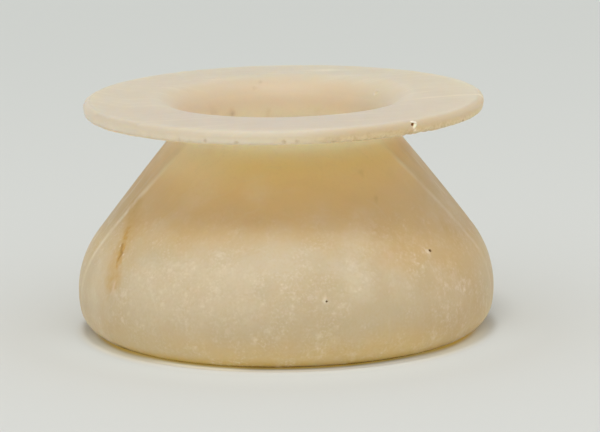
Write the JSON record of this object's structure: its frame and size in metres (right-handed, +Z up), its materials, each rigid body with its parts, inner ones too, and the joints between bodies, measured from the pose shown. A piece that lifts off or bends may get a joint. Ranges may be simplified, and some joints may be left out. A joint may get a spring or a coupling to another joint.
{
  "type": "cosmetic jar",
  "caption": "Squat stone cosmetic jar with a domed conical body, a short neck, a wide flat disc rim and an open funnel mouth.",
  "frame": {"origin": "centre of the flat foot, on the surface that the jar stands on", "axes": "+Z up along the jar's turning axis; +X and +Y are horizontal, and the stone's bedding planes face +Y and -Y"},
  "size_m": [0.1, 0.1, 0.0564],
  "materials": {
    "travertine": "polished, translucent honey-cream banded travertine"
  },
  "bodies": {
    "root": {"jar": "travertine"}
  },
  "joints": []
}
